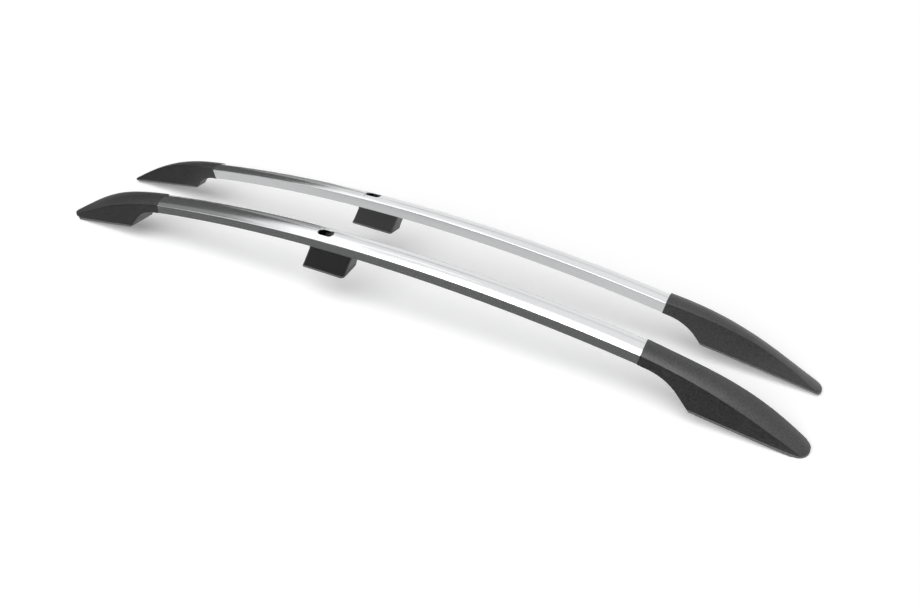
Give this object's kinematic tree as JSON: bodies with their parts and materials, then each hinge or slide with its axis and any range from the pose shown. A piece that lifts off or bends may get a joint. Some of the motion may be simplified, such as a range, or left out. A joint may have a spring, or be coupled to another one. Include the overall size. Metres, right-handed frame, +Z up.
{
  "type": "roof side rail pair",
  "caption": "Pair of arched hollow side rails for a vehicle's roof, with tapered end caps, an off-centre raked foot and an access hole in each.",
  "frame": {"origin": "on the floor, midway between the two rails and halfway along them", "axes": "+X along the rails to the front, +Y towards the left-hand rail, +Z up"},
  "size_m": [1.806, 0.26, 0.1658],
  "materials": {
    "profile": "anodised, brushed lengthwise, satin",
    "cap": "fine-grained black moulding",
    "foot": "smooth black moulding",
    "seal": "matt grey-black rubber",
    "bracket": "plain die casting",
    "nuts": "zinc-plated",
    "screws": "zinc-plated",
    "steel": "zinc-plated"
  },
  "bodies": {
    "root": {"right_profile": "profile", "right_middle_foot": "foot", "right_foot_gasket": "seal", "right_foot_sleeve": "steel", "right_foot_nut_plate": "steel", "right_foot_screws": "screws", "right_front_cap": "cap", "right_front_gasket": "seal", "right_front_bracket": "bracket", "right_front_roof_nuts": "nuts", "right_front_cap_screw": "screws", "right_front_tongue_screws": "screws", "right_rear_cap": "cap", "right_rear_gasket": "seal", "right_rear_bracket": "bracket", "right_rear_roof_nuts": "nuts", "right_rear_cap_screw": "screws", "right_rear_tongue_screws": "screws", "left_profile": "profile", "left_middle_foot": "foot", "left_foot_gasket": "seal", "left_foot_sleeve": "steel", "left_foot_nut_plate": "steel", "left_foot_screws": "screws", "left_front_cap": "cap", "left_front_gasket": "seal", "left_front_bracket": "bracket", "left_front_roof_nuts": "nuts", "left_front_cap_screw": "screws", "left_front_tongue_screws": "screws", "left_rear_cap": "cap", "left_rear_gasket": "seal", "left_rear_bracket": "bracket", "left_rear_roof_nuts": "nuts", "left_rear_cap_screw": "screws", "left_rear_tongue_screws": "screws"}
  },
  "joints": []
}
